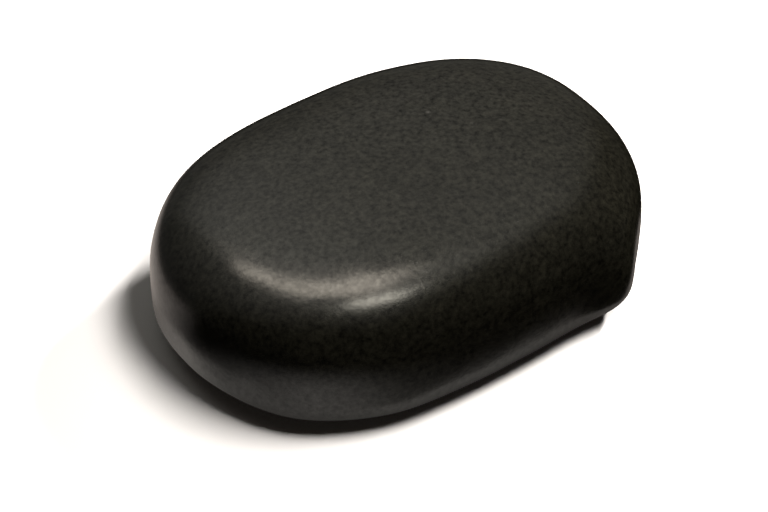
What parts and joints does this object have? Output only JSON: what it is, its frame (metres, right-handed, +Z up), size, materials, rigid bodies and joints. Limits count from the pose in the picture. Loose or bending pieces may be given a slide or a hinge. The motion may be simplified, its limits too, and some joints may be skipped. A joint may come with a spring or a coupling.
{
  "type": "river pebble",
  "caption": "Smooth dark basalt river pebble with a broad nearly flat top and round sides, resting on its flatter side.",
  "frame": {"origin": "bottom centre of the stone's bounding box, in the plane of the worn flat that it rests on", "axes": "+X along the stone's length, +Y along its width, +Z up through its thickness"},
  "size_m": [0.08, 0.0576, 0.0262],
  "materials": {
    "basalt": "water-worn, smooth, dull sheen"
  },
  "bodies": {
    "root": {"pebble": "basalt"}
  },
  "joints": []
}
